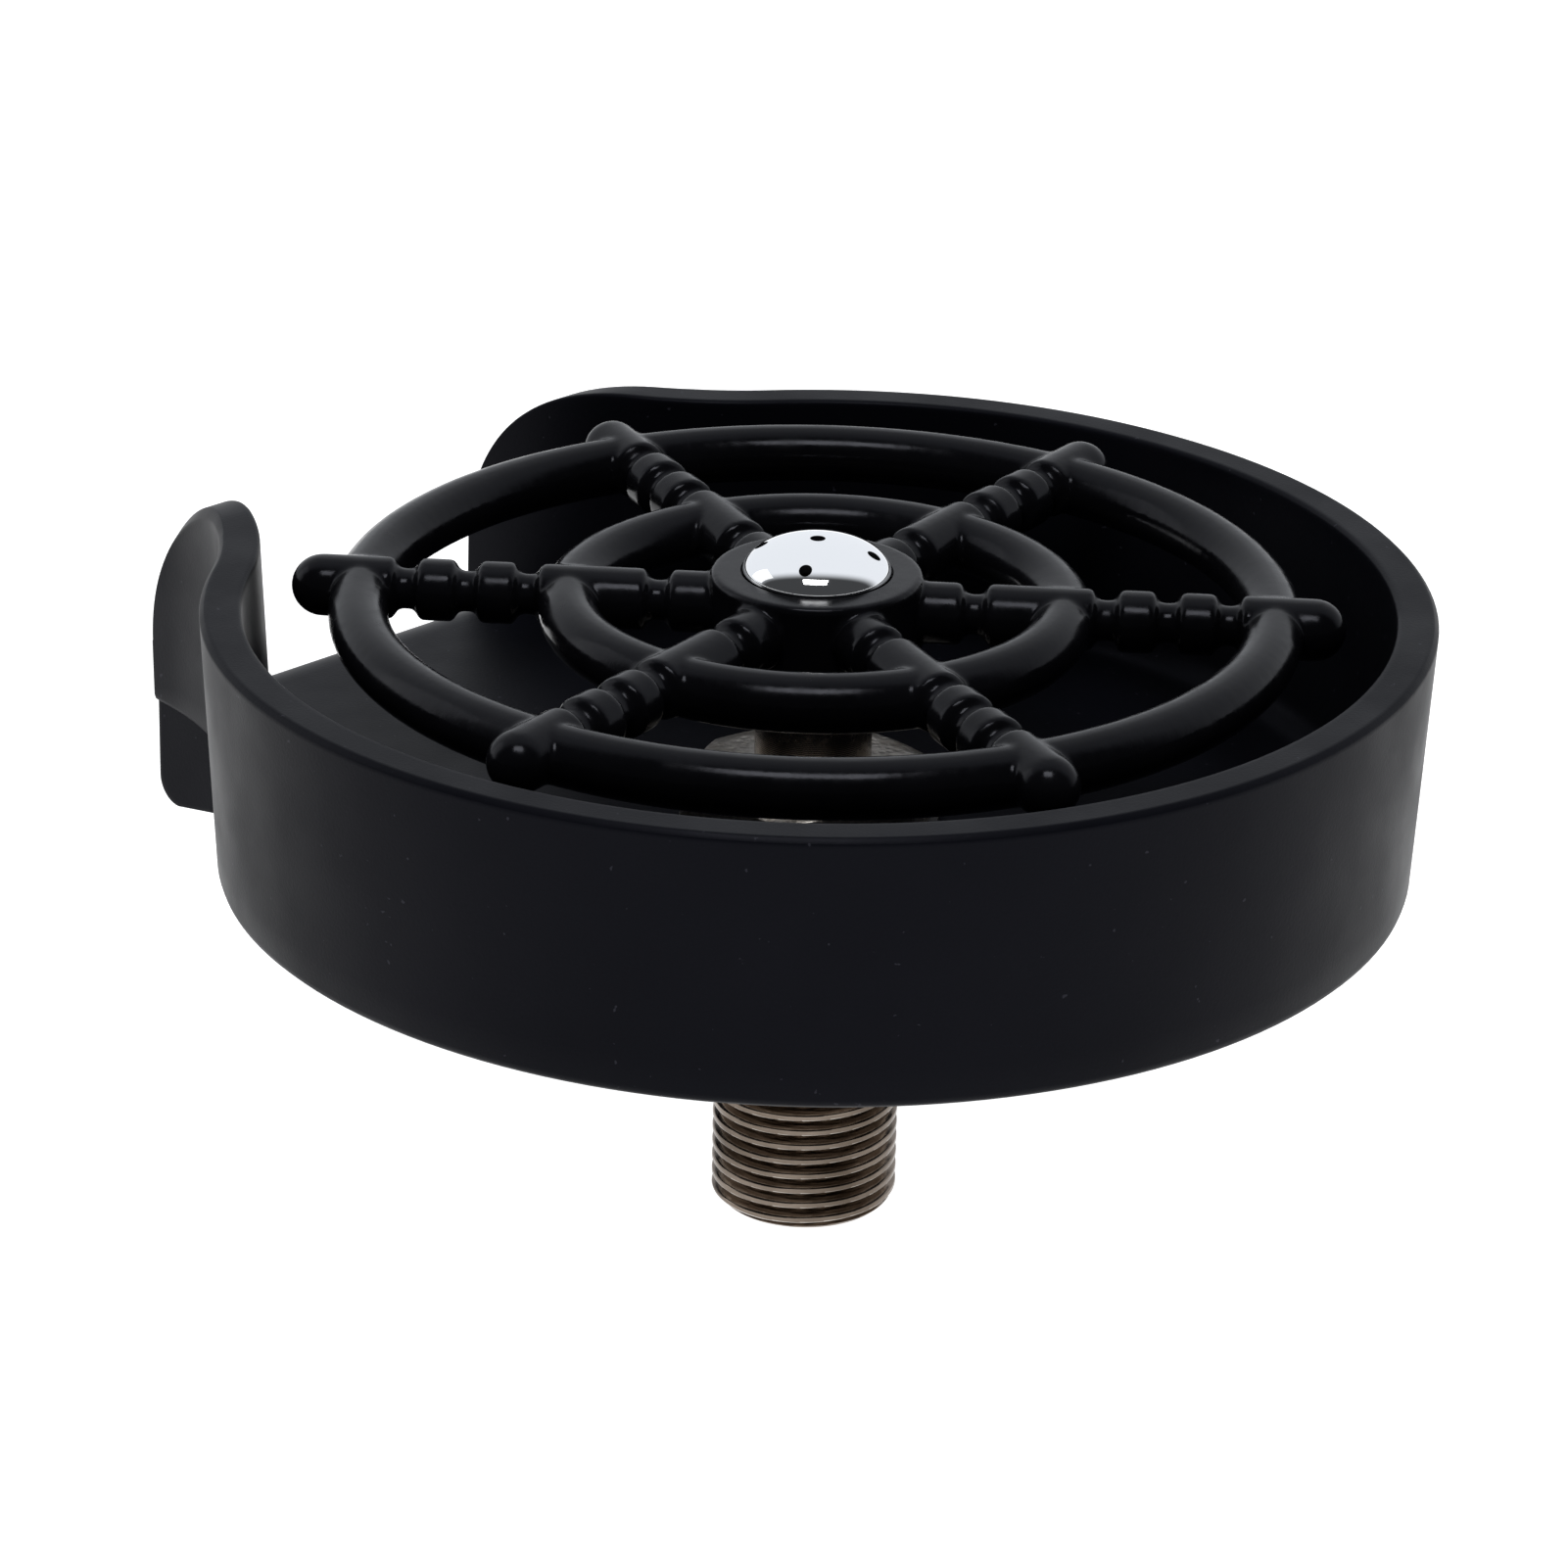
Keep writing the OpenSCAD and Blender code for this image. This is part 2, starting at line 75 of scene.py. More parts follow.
BARREL_R, BARREL_TOP, BARREL_LOW = 6.5, 23.0, 9.0
UNDERCUT_TOP, UNDERCUT_LOW, UNDERCUT = -15.1, -17.3, 1.25

# How finely the curved parts are divided
BACK_STEPS, SHOULDER_STEPS, BEND_STEPS, CHEEK_STEPS, FLOOR_STEPS = 48, 24, 12, 32, 10
RING_STEPS, BAR_STEPS, HUB_STEPS = 160, 32, 96
CAP_STEPS, CAP_RINGS = 240, 56
HEX_STEPS, THREAD_STEPS, THREAD_ROWS = 180, 144, 22
COIL_STEPS, WIRE_STEPS = 64, 16
VOXEL, VOXEL_QUICK = 0.32, 0.6

# The stage, in metres: the floor's half width and the lamps' distance. The world is brightest towards
# BRIGHT_AT, given as azimuth and elevation
FLOOR_HALF, LAMP_DISTANCE, BRIGHT_AT = 6.0, 0.9, (-136, 8)
# The camera, in metres and degrees: how far off, how far round and how high it stands, and where it
# looks. The lens and the sensor are in millimetres
DISTANCE, AZIMUTH, ELEVATION = 0.69583, 44.0, 23.628
PITCH_DOWN, TURN, ROLL = 23.034, -0.282, 1.183
LENS, SENSOR = 143.16, 36.0


# ---------------------------------------------------------------- mesh helpers
def vec(x, y, z):
    """Point in metres from millimetres."""
    return Vector((x, y, z)) * MM


def finish_mesh(bm, name, body, stands_for, materials, weld=0.00001):
    """Turn the bmesh into a smooth-shaded piece that rides on a body."""
    bmesh.ops.remove_doubles(bm, verts=bm.verts, dist=weld)
    bmesh.ops.dissolve_degenerate(bm, edges=bm.edges, dist=weld / 10)
    bmesh.ops.recalc_face_normals(bm, faces=bm.faces)
    mesh = bpy.data.meshes.new(name)
    bm.to_mesh(mesh)
    bm.free()
    piece = bpy.data.objects.new(name, mesh)
    bpy.context.scene.collection.objects.link(piece)
    for face in mesh.polygons:
        face.use_smooth = True
    for m in materials:
        mesh.materials.append(m)
    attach(piece, body)
    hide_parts(*stands_for)
    return piece


def sharp_edges(piece, degrees):
    """Keep edges crisp where the surface turns by more than this."""
    bm = bmesh.new()
    bm.from_mesh(piece.data)
    for e in bm.edges:
        if len(e.link_faces) == 2 and e.calc_face_angle(0) > math.radians(degrees):
            e.smooth = False
    bm.to_mesh(piece.data)
    bm.free()


def grid(bm, rows, closed_rows=False, closed_cols=False, material=0):
    """Faces between rows of points; returns the rows of vertices."""
    made = [[p if isinstance(p, bmesh.types.BMVert) else bm.verts.new(p) for p in row]
            for row in rows]
    for i in range(len(made) - (0 if closed_rows else 1)):
        a, b = made[i], made[(i + 1) % len(made)]
        for j in range(len(a) - (0 if closed_cols else 1)):
            k = (j + 1) % len(a)
            quad = []
            for v in (a[j], a[k], b[k], b[j]):
                if v not in quad:
                    quad.append(v)
            if len(quad) > 2:
                bm.faces.new(quad).material_index = material
    return made


def round_angles(steps):
    """Evenly spaced angles once round, without the last, which would repeat the first."""
    return [2 * math.pi * i / steps for i in range(steps)]


def circle(r, z, steps):
    """Ring of points round the valve axis."""
    return [vec(r * math.cos(a), r * math.sin(a), z) for a in round_angles(steps)]


def lathe(bm, outline, steps, material=0):
    """Turn a closed (r, z) outline about the valve axis."""
    rows = [[vec(r * math.cos(a), r * math.sin(a), z) for r, z in outline]
            for a in round_angles(steps)]
    grid(bm, rows, closed_rows=True, closed_cols=True, material=material)


def arc(cx, cz, r, start, end, steps):
    """Points along an arc, its angles in degrees."""
    angles = [math.radians(start + (end - start) * i / steps) for i in range(steps + 1)]
    return [(cx + r * math.cos(a), cz + r * math.sin(a)) for a in angles]


def rounded(outline, r, steps=3):
    """Round every corner of a closed (r, z) outline by up to r."""
    out = []
    n = len(outline)
    for i in range(n):
        p, q, s = (Vector(outline[(i + d) % n]) for d in (-1, 0, 1))
        a, b = p - q, s - q
        t = min(r, a.length * 0.45, b.length * 0.45)
        start, end = q + a.normalized() * t, q + b.normalized() * t
        for k in range(steps + 1):
            u = k / steps
            out.append(tuple((1 - u) ** 2 * start + 2 * u * (1 - u) * q + u * u * end))
    return out


# ---------------------------------------------------------------- node helpers
def new_material(name):
    m = bpy.data.materials.new(name)
    m.use_nodes = True
    tree = m.node_tree
    tree.nodes.clear()
    out = tree.nodes.new("ShaderNodeOutputMaterial")
    shader = tree.nodes.new("ShaderNodeBsdfPrincipled")
    tree.links.new(shader.outputs[0], out.inputs[0])
    return m, tree, shader


def node(tree, kind, inputs=None, **settings):
    """New node: each input is a socket to link or a value, each setting one of its properties."""
    n = tree.nodes.new(kind)
    for k, v in settings.items():
        setattr(n, k, v)
    for k, v in (inputs or {}).items():
        if isinstance(v, bpy.types.NodeSocket):
            tree.links.new(v, n.inputs[k])
        else:
            n.inputs[k].default_value = v
    return n


def coords(tree):
    return node(tree, "ShaderNodeTexCoord").outputs["Object"]


def noise(tree, scale, detail, rough=0.5):
    inputs = {"Vector": coords(tree), "Scale": scale, "Detail": detail, "Roughness": rough}
    return node(tree, "ShaderNodeTexNoise", inputs).outputs["Fac"]


def spread(tree, value, low, high, to_low, to_high):
    """Map a texture's value from low..high to to_low..to_high."""
    inputs = {"Value": value, "From Min": low, "From Max": high, "To Min": to_low, "To Max": to_high}
    return node(tree, "ShaderNodeMapRange", inputs).outputs["Result"]


def two_colours(tree, value, a, b, low=0.35, high=0.65):
    """Colour that goes from a to b as the value goes from low to high."""
    ramp = node(tree, "ShaderNodeValToRGB", {"Fac": value})
    first, second = ramp.color_ramp.elements
    first.position, first.color = low, (*a, 1)
    second.position, second.color = high, (*b, 1)
    return ramp.outputs["Color"]


def bump(tree, height, distance, strength=1.0, under=None):
    """Bumps from a height, on top of the bumps under them if any are given."""
    inputs = {"Height": height, "Distance": distance, "Strength": strength}
    if under is not None:
        inputs["Normal"] = under
    return node(tree, "ShaderNodeBump", inputs).outputs["Normal"]


def plain_shader(name, colour, roughness, metallic=0.0, specular=0.5):
    m, tree, shader = new_material(name)
    shader.inputs["Base Color"].default_value = (*colour, 1)
    shader.inputs["Roughness"].default_value = roughness
    shader.inputs["Metallic"].default_value = metallic
    shader.inputs["Specular IOR Level"].default_value = specular
    return m, tree, shader


# ---------------------------------------------------------------- materials
def moulded_black():
    """Fine spark-eroded matte ABS: soft sheen, a tone that drifts a little and tiny light specks."""
    m, t, s = plain_shader("matte_black_abs", (0.0023, 0.0025, 0.0042), 0.40, 0.0, 0.05)
    s.inputs["Specular Tint"].default_value = (0.82, 0.84, 1.0, 1)
    cloud, grain, speck = noise(t, 28, 4), noise(t, 2600, 2), noise(t, 900, 2)
    base = two_colours(t, cloud, (0.0019, 0.0021, 0.0034), (0.0032, 0.0034, 0.0052), 0.3, 0.7)
    dots = spread(t, speck, 0.735, 0.76, 0, 1)
    pale = (0.020, 0.020, 0.026, 1)
    # Sockets 6 and 7 of a mix node are its two colours, and output 2 is the mixed one
    mix = node(t, "ShaderNodeMix", {"Factor": dots, 6: base, 7: pale}, data_type="RGBA")
    t.links.new(mix.outputs[2], s.inputs["Base Color"])
    t.links.new(spread(t, noise(t, 90, 5), 0.3, 0.7, 0.36, 0.47), s.inputs["Roughness"])
    t.links.new(bump(t, grain, 0.00003, 0.5, bump(t, cloud, 0.0002, 0.06)), s.inputs["Normal"])
    return m


def gloss_black():
    """Moulded star: glossier, with faint waves in the surface and spots rubbed duller."""
    m, t, s = plain_shader("gloss_black", (0.003, 0.003, 0.004), 0.2, 0.0, 0.09)
    s.inputs["Specular Tint"].default_value = (0.86, 0.88, 1.0, 1)
    wide, fine = noise(t, 60, 4), noise(t, 1500, 2)
    colour = two_colours(t, wide, (0.0020, 0.0020, 0.0026), (0.0036, 0.0036, 0.0046))
    t.links.new(colour, s.inputs["Base Color"])
    rubbed = noise(t, 260, 6, 0.65)
    t.links.new(spread(t, rubbed, 0.35, 0.72, 0.12, 0.30), s.inputs["Roughness"])
    t.links.new(bump(t, fine, 0.00002, 0.35, bump(t, rubbed, 0.00012, 0.25)), s.inputs["Normal"])
    return m


def chrome():
    """Bright plating with a faint orange peel."""
    m, t, s = plain_shader("chrome", (0.86, 0.87, 0.88), 0.04, 1.0)
    t.links.new(spread(t, noise(t, 300, 5), 0.4, 0.8, 0.025, 0.09), s.inputs["Roughness"])
    t.links.new(bump(t, noise(t, 900, 3), 0.00001, 0.12), s.inputs["Normal"])
    return m


def cast_brass():
    """Cast and tumbled hexagon: pitted, uneven, dull nickel over brass."""
    m, t, s = plain_shader("cast_nickel_brass", (0.45, 0.42, 0.38), 0.42, 1.0)
    wide = noise(t, 240, 6, 0.7)
    pits = node(t, "ShaderNodeTexVoronoi", {"Vector": coords(t), "Scale": 900.0}).outputs["Distance"]
    colour = two_colours(t, wide, (0.22, 0.19, 0.16), (0.62, 0.59, 0.55), 0.32, 0.66)
    t.links.new(colour, s.inputs["Base Color"])
    t.links.new(spread(t, wide, 0.3, 0.7, 0.5, 0.28), s.inputs["Roughness"])
    rough = bump(t, wide, 0.0005, 0.8)
    t.links.new(bump(t, spread(t, pits, 0, 0.5, 0, 1), 0.0002, 0.6, rough), s.inputs["Normal"])
    return m


def turned_metal(name, dark, light, low_rough, high_rough):
    """Turned brass under a nickel wash: thin tool rings, and a tone that drifts from dark to light."""
    m, t, s = plain_shader(name, dark, 0.22, 1.0)
    t.links.new(two_colours(t, noise(t, 110, 5), dark, light), s.inputs["Base Color"])
    inputs = {"Vector": coords(t), "Scale": 1400.0, "Distortion": 1.5, "Detail": 2.0}
    lines = node(t, "ShaderNodeTexWave", inputs, wave_type="BANDS", bands_direction="Z")
    t.links.new(spread(t, noise(t, 400, 4), 0.3, 0.7, low_rough, high_rough), s.inputs["Roughness"])
    t.links.new(bump(t, lines.outputs["Fac"], 0.00002, 0.4), s.inputs["Normal"])
    return m


def steel():
    m, t, s = plain_shader("plain_steel", (0.56, 0.57, 0.59), 0.3, 1.0)
    tone = noise(t, 120, 5)
    t.links.new(two_colours(t, tone, (0.48, 0.49, 0.51), (0.62, 0.63, 0.65)), s.inputs["Base Color"])
    t.links.new(spread(t, noise(t, 500, 5), 0.3, 0.7, 0.2, 0.42), s.inputs["Roughness"])
    t.links.new(bump(t, noise(t, 1800, 3), 0.00002, 0.4), s.inputs["Normal"])
    return m


def rubber():
    m, t, s = plain_shader("black_rubber", (0.02, 0.02, 0.021), 0.7, 0.0, 0.35)
    tone = noise(t, 200, 5)
    t.links.new(two_colours(t, tone, (0.016, 0.016, 0.017), (0.034, 0.034, 0.036)), s.inputs["Base Color"])
    t.links.new(spread(t, tone, 0.3, 0.7, 0.6, 0.85), s.inputs["Roughness"])
    t.links.new(bump(t, noise(t, 1500, 3), 0.00004, 0.5), s.inputs["Normal"])
    return m


def acetal():
    m, t, s = plain_shader("white_acetal", (0.72, 0.71, 0.66), 0.38)
    tone = noise(t, 150, 4)
    t.links.new(two_colours(t, tone, (0.68, 0.67, 0.62), (0.76, 0.75, 0.71)), s.inputs["Base Color"])
    t.links.new(spread(t, tone, 0.3, 0.7, 0.32, 0.48), s.inputs["Roughness"])
    t.links.new(bump(t, noise(t, 1200, 2), 0.00002, 0.4), s.inputs["Normal"])
    return m


BLACK = moulded_black()
GLOSS = gloss_black()
CHROME = chrome()
CAST = cast_brass()
TURNED = turned_metal("turned_nickel_brass", (0.30, 0.25, 0.20), (0.46, 0.41, 0.35), 0.16, 0.32)
# A darkened copy of the turned metal for the thread: painted shade for the dark it shows from the front,
# the rest of its tone drifting at random
THREAD_PAINTED_SHADE = turned_metal("thread_painted_shade", (0.12, 0.094, 0.073), (0.25, 0.205, 0.168), 0.14, 0.28)
# A lighter copy of the thread's metal: a painted highlight, put on one flank of every turn
THREAD_PAINTED_HIGHLIGHT = turned_metal("thread_painted_highlight", (0.36, 0.32, 0.28), (0.62, 0.58, 0.53), 0.10, 0.22)
# Near-black for the cap's inner skin and hole walls: painted shade standing in for the dark inside the
# spray holes
HOLE = plain_shader("hole_painted_shade", (0.004, 0.004, 0.005), 0.6, 0.0, 0.2)[0]
STEEL = steel()
RUBBER = rubber()
ACETAL = acetal()


# ---------------------------------------------------------------- basin
def plan(degrees):
    """Unit vector in the basin's plan, its angle counted round from the spout."""
    a = math.radians(degrees)
    return Vector((math.cos(a), math.sin(a)))


def flare(z):
    """How wide the tapered wall is at a height, against its width at the rim."""
    return (FOOT_R + (RIM_R - FOOT_R) * min(z, RIM_Z) / RIM_Z) / RIM_R


def wall_curves():
    """The basin's plan as pairs of outer and inner rim points, from the back to the spout's end.
    Along the cheeks each pair lies at one distance out, so that their ends can be square."""
    centre = plan(SHOULDER_A) * (RIM_R - SHOULDER_R)
    bend_c = centre + plan(BEND_A) * (SHOULDER_R + BEND_R)
    pairs = []
    for i in range(BACK_STEPS):
        d = plan(180 - (180 - SHOULDER_A) * i / BACK_STEPS)
        pairs.append((d * RIM_R, d * (RIM_R - WALL)))
    for i in range(SHOULDER_STEPS):
        d = plan(SHOULDER_A + (BEND_A - SHOULDER_A) * i / SHOULDER_STEPS)
        pairs.append((centre + d * SHOULDER_R, centre + d * (SHOULDER_R - WALL)))
    corner = SPOUT_END - CORNER_R

    def at(u, inner):
        """Half the width at distance u out along the spout."""
        r, slant = (BEND_R + WALL, SLANT_IN) if inner else (BEND_R, SLANT_OUT)
        last = bend_c.x - r * math.sin(math.radians(slant))
        if u > last:
            tip = bend_c.y - r * math.cos(math.radians(slant))
            return tip - (u - last) * math.tan(math.radians(slant))
        return bend_c.y - math.sqrt(r * r - (u - bend_c.x) ** 2)

    start = 180 + BEND_A
    bend = [(r, 360 - math.degrees(math.acos((corner - bend_c.x) / r)))
            for r in (BEND_R, BEND_R + WALL)]
    for i in range(BEND_STEPS):
        pairs.append(tuple(bend_c + plan(start + (end - start) * i / BEND_STEPS) * r
                           for r, end in bend))
    first_cheek = len(pairs)
    for i in range(CHEEK_STEPS + 1):
        u = corner + (CORNER_R - END_EASE) * math.sin(math.radians(90 * i / CHEEK_STEPS))
        pairs.append((Vector((u, at(u, False))), Vector((u, at(u, True)))))
    return pairs, first_cheek, corner, at


def build_basin():
    pairs, first_cheek, corner, half_width = wall_curves()
    foot_r, rim_r = 1.2, 0.5
    fillet_fade, lift_over, bevel_over, bevel_before = 24, 8, 12, 4
    bm = bmesh.new()

    def station(i):
        """Section of the wall: underside, foot, outer face, rim, inner face, fillet into the floor."""
        outer, inner = pairs[i]
        across = (inner - outer).normalized()
        wall = (inner - outer).length
        fillet = 0.4 + 2.6 * max(0.0, min(1.0, (first_cheek - i) / fillet_fade))
        lift = CHEEK_LIFT * min(1.0, max(0, i - first_cheek) / lift_over)
        bevel = 0.6 + 0.7 * min(1.0, max(0, i - first_cheek + bevel_before) / bevel_over)
        out = max(0.0, outer.x - corner) * CORNER_R / (CORNER_R - END_EASE)
        high = RIM_Z - CORNER_R + math.sqrt(max(CORNER_R ** 2 - out ** 2, 0))
        inside = high - rim_r

        def point(inset, z):
            """Place one point of the section; the wall tapers, but the cheeks keep their length."""
            p = outer + across * inset
            x = p.x if i >= first_cheek else p.x * flare(z)
            return vec(-x, p.y * flare(z), z)

        section = [(wall, 0.0)] + arc(foot_r, foot_r, foot_r, 270, 180, 3)
        section += [(0.0, foot_r + (high - bevel - foot_r) * f)
                    for f in (0.12, 0.3, 0.5, 0.7, 0.85, 0.95, 0.985, 1.0)]
        section += [(bevel * 0.12, high - bevel * 0.8), (bevel * 0.85, high - bevel * 0.1), (bevel, high)]
        section += [(bevel + (wall - bevel - rim_r) * f, high) for f in (0.1, 0.5, 0.9)]
        section += arc(wall - rim_r, inside, rim_r, 90, 0, 3)
        section += [(wall, inside - (inside - FLOOR - fillet) * f) for f in (0.02, 0.15, 0.5, 0.85, 0.97)]
        section += arc(wall + fillet, FLOOR + fillet, fillet, 180, 270, 6)
        return [point(inset, z + lift * max(0.0, 1 - z / 4)) for inset, z in section]

    lines = FLOOR_STEPS
    rows = []
    for i in range(first_cheek + 1):
        loop = station(i)
        low, high = loop[0], loop[-1]
        bottom = [Vector((low.x, low.y * (1 - j / lines), 0)) for j in range(lines, 0, -1)]
        floor = [Vector((high.x, high.y * (1 - j / lines), FLOOR * MM)) for j in range(1, lines + 1)]
        rows.append(bottom + loop + floor)
    made = grid(bm, rows)
    seam = made[-1]

    # The cheeks go on from the last of those sections, and close at the spout's end
    loop_size = len(station(first_cheek))
    cheek_rows = [seam[lines:lines + loop_size]]
    for i in range(first_cheek + 1, len(pairs)):
        cheek_rows.append(station(i))
    end_face = cheek_rows[-1]
    middle = sum(end_face, Vector()) / len(end_face)
    closing = ((0.20, 0.035, 0.01), (0.31, 0.10, 0.025), (END_EASE, 0.17, 0.04), (END_EASE, 0.30, 0.08))
    for out, side, up in closing:
        row = [Vector((p.x - out * MM, p.y + (middle.y - p.y) * side, p.z + (middle.z - p.z) * up))
               for p in end_face]
        cheek_rows.append(row)
    cheek = grid(bm, cheek_rows, closed_cols=True)
    bm.faces.new(cheek[-1])

    # The floor goes on as a slab that rolls over into the lip
    roll, roll_z = LIP_END - LIP_R, FLOOR - LIP_R
    tip_r, lap = 0.8, 0.4
    start_u = -seam[-1].co.x / MM
    over = [(start_u + (roll - start_u) * f, FLOOR) for f in (0.33, 0.66)]
    over += arc(roll, roll_z, LIP_R, 90, 0, 20)
    over += arc(LIP_END - tip_r, tip_r - DROP, tip_r, 0, -90, 3)
    under = arc(LIP_END - FLOOR + tip_r, tip_r - DROP, tip_r, -90, -180, 3)
    under += arc(roll, roll_z, LIP_R - FLOOR, 0, 90, 14)
    under += [(start_u + (roll - start_u) * f, 0.0) for f in (0.66, 0.33)]
    slab = [seam[lines + loop_size - 1:]]
    for u, z in over + under:
        wide = half_width(u, True) * flare(FLOOR) + lap
        slab.append([vec(-u, wide * (1 - j / lines), z) for j in range(lines + 1)])
    slab.append(list(reversed(seam[:lines + 1])))
    slab_rows = grid(bm, slab)
    bm.faces.new([row[0] for row in slab_rows])

    # Skirt that hangs below the cheek, its outer edges eased
    def skirt_row(v, inset):
        """Side view of the skirt at one distance from the middle, drawn in by the inset."""
        back, front, low = SKIRT_BACK + inset, LIP_END - inset, inset - DROP
        hidden_top, heel, nose_r = 1.2, 1.2, 3.2
        outline = [(back, hidden_top), (back, low + heel), (back + 1.0, low + heel * 0.9)]
        outline += arc(front - nose_r, low + nose_r, nose_r, -90, 0, 10) + [(front, hidden_top)]
        return [vec(-u, v, z) for u, z in outline]

    skirt_rows = [skirt_row(SKIRT_IN, 0.0), skirt_row(SKIRT_OUT - 0.3, 0.0)]
    skirt_rows += [skirt_row(SKIRT_OUT - 0.09, 0.09), skirt_row(SKIRT_OUT, 0.3), skirt_row(SKIRT_OUT, 0.7)]
    skirt = grid(bm, skirt_rows, closed_cols=True)
    bm.faces.new(skirt[0])
    bm.faces.new(skirt[-1])

    # The other half is its mirror image
    extra = bmesh.ops.duplicate(bm, geom=bm.verts[:] + bm.edges[:] + bm.faces[:])
    for v in (g for g in extra["geom"] if isinstance(g, bmesh.types.BMVert)):
        v.co.y = -v.co.y
    basin = finish_mesh(bm, "basin_shell", "root", ["basin"], [BLACK])
    sharp_edges(basin, 38)


build_basin()


# ---------------------------------------------------------------- star
def arm_outline():
    """(distance out, radius) along an arm: soft-edged grooves and a ball end."""
    depth, mouth, bottom, half_steps = 1.2, 1.7, 0.75, 6
    root = HUB_R - 2.5
    points = [(root, 0.0), (root, ARM_R)]
    for g in GROOVES:
        for k in range(-half_steps, half_steps + 1):
            d = mouth * (k / half_steps)
            edge = min(1.0, max(0.0, (mouth - abs(d)) / (mouth - bottom)))
            points.append((g + d, ARM_R - depth * (edge * edge * (3 - 2 * edge))))
    points += arc(ARM_REACH, 0.0, ARM_R, 90, 0, 9)
    return points


def build_star():
    bm = bmesh.new()
    for ring_r in RINGS:
        lathe(bm, [(ring_r + BAR_R * math.cos(b), RING_Z + BAR_R * math.sin(b))
                   for b in round_angles(BAR_STEPS)], RING_STEPS)
    outline = arm_outline()
    for k in range(ARMS):
        turn = Matrix.Rotation(math.radians(ARM_A + 360 / ARMS * k), 3, "Z")
        rows = [[turn @ vec(d, r * math.cos(b), ARM_Z + r * math.sin(b)) for d, r in outline]
                for b in round_angles(BAR_STEPS)]
        grid(bm, rows, closed_rows=True)
    hub = [(0.0, HUB_LOW), (HUB_R, HUB_LOW), (HUB_R, HUB_TOP), (0.0, HUB_TOP)]
    lathe(bm, rounded(hub, 0.5), HUB_STEPS)
    star = finish_mesh(bm, "spray_star_body", "spray_head", ["spray_star"], [GLOSS])
    melt_and_hollow(star)
    sharp_edges(star, 50)


def melt_and_hollow(star):
    """Melt the bars into one moulding with small fillets, then hollow the hub for the cap, the
    barrel and the spindle."""
    remesh = star.modifiers.new("melt", "REMESH")
    remesh.mode = "VOXEL"
    remesh.voxel_size = VOXEL * MM
    remesh.use_smooth_shade = True
    smooth = star.modifiers.new("soften", "SMOOTH")
    smooth.factor = 0.5
    smooth.iterations = 6
    cuts = []
    # The cap's pocket is open upwards and the barrel's room downwards; the spindle's hole joins them
    hollows = ((POCKET_R, CAP_LOW, 40.0), (BARREL_ROOM_R, 20.0, 30.3), (SPINDLE_R, 28.0, 36.0))
    for r, low, high in hollows:
        bm = bmesh.new()
        lathe(bm, [(0.0, low), (r, low), (r, high), (0.0, high)], HUB_STEPS)
        bmesh.ops.remove_doubles(bm, verts=bm.verts, dist=1e-7)
        bmesh.ops.recalc_face_normals(bm, faces=bm.faces)
        mesh = bpy.data.meshes.new("cut")
        bm.to_mesh(mesh)
        bm.free()
        cut = bpy.data.objects.new("cut", mesh)
        bpy.context.scene.collection.objects.link(cut)
        mod = star.modifiers.new("hollow", "BOOLEAN")
        mod.operation = "DIFFERENCE"
        mod.object = cut
        mod.solver = "EXACT"
        cuts.append(cut)
    bpy.context.view_layer.update()
    evaluated = star.evaluated_get(bpy.context.evaluated_depsgraph_get())
    done = bpy.data.meshes.new_from_object(evaluated)
    star.modifiers.clear()
    star.data = done
    for face in done.polygons:
        face.use_smooth = True
    for cut in cuts:
        bpy.data.objects.remove(cut)


build_star()


